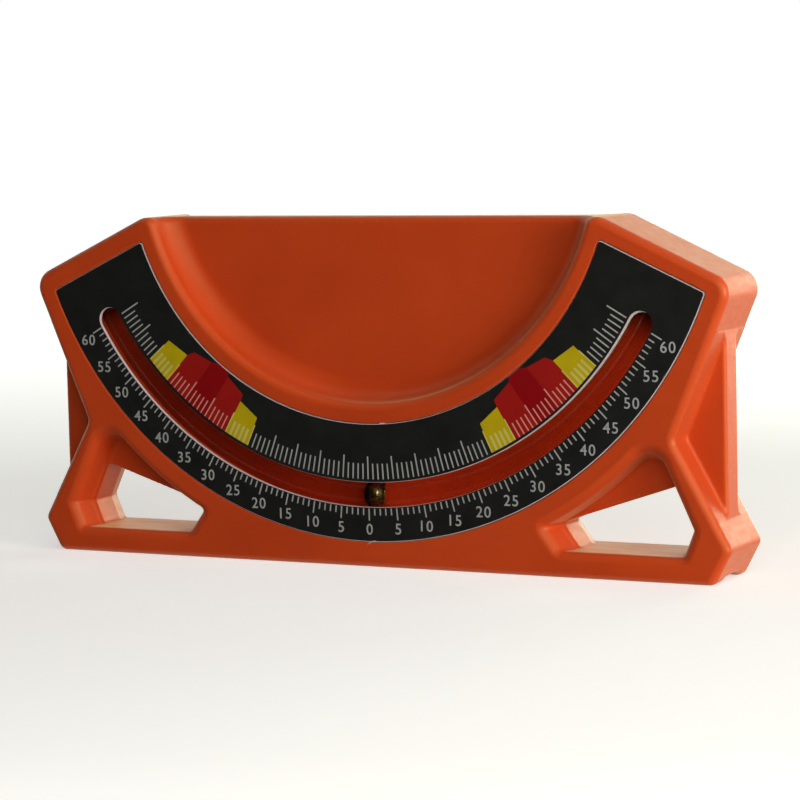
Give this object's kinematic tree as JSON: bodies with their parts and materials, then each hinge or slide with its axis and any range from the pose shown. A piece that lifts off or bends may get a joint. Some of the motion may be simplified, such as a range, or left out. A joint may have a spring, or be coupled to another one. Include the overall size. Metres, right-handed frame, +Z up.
{
  "type": "inclinometer",
  "caption": "Pocket slope inclinometer: a moulded case with a dial plate round a curved slot, and a steel ball that rolls in a damped curved tube behind the slot.",
  "frame": {"origin": "on the plane of the base rails, under the middle of the case's length and thickness", "axes": "+X along the base to the right as the dial is read, +Y from the dial to the back, +Z up from the base"},
  "size_m": [0.102, 0.0116, 0.0461],
  "materials": {
    "case_plastic": "satin, lightly glossy orange moulding",
    "printed_sheet": "black printed sheet with light grey scales and white cut edges",
    "adhesive_film": "thin pale adhesive film",
    "clear_tube": "clear and polished",
    "plug_rubber": "matte",
    "polished_steel": "polished steel"
  },
  "bodies": {
    "case": {"housing": "case_plastic", "dial_plate": "printed_sheet", "dial_adhesive": "adhesive_film", "vial_tube": "clear_tube", "vial_plug_left": "plug_rubber", "vial_plug_right": "plug_rubber"},
    "ball": {"ball": "polished_steel"}
  },
  "joints": [
    {"name": "ball_roll", "type": "hinge", "parent": "case", "child": "ball", "pos_m": [0, -0.00265, 0.0549], "axis": [0, -1, 0], "range_deg": [-60.5, 60.5]}
  ]
}
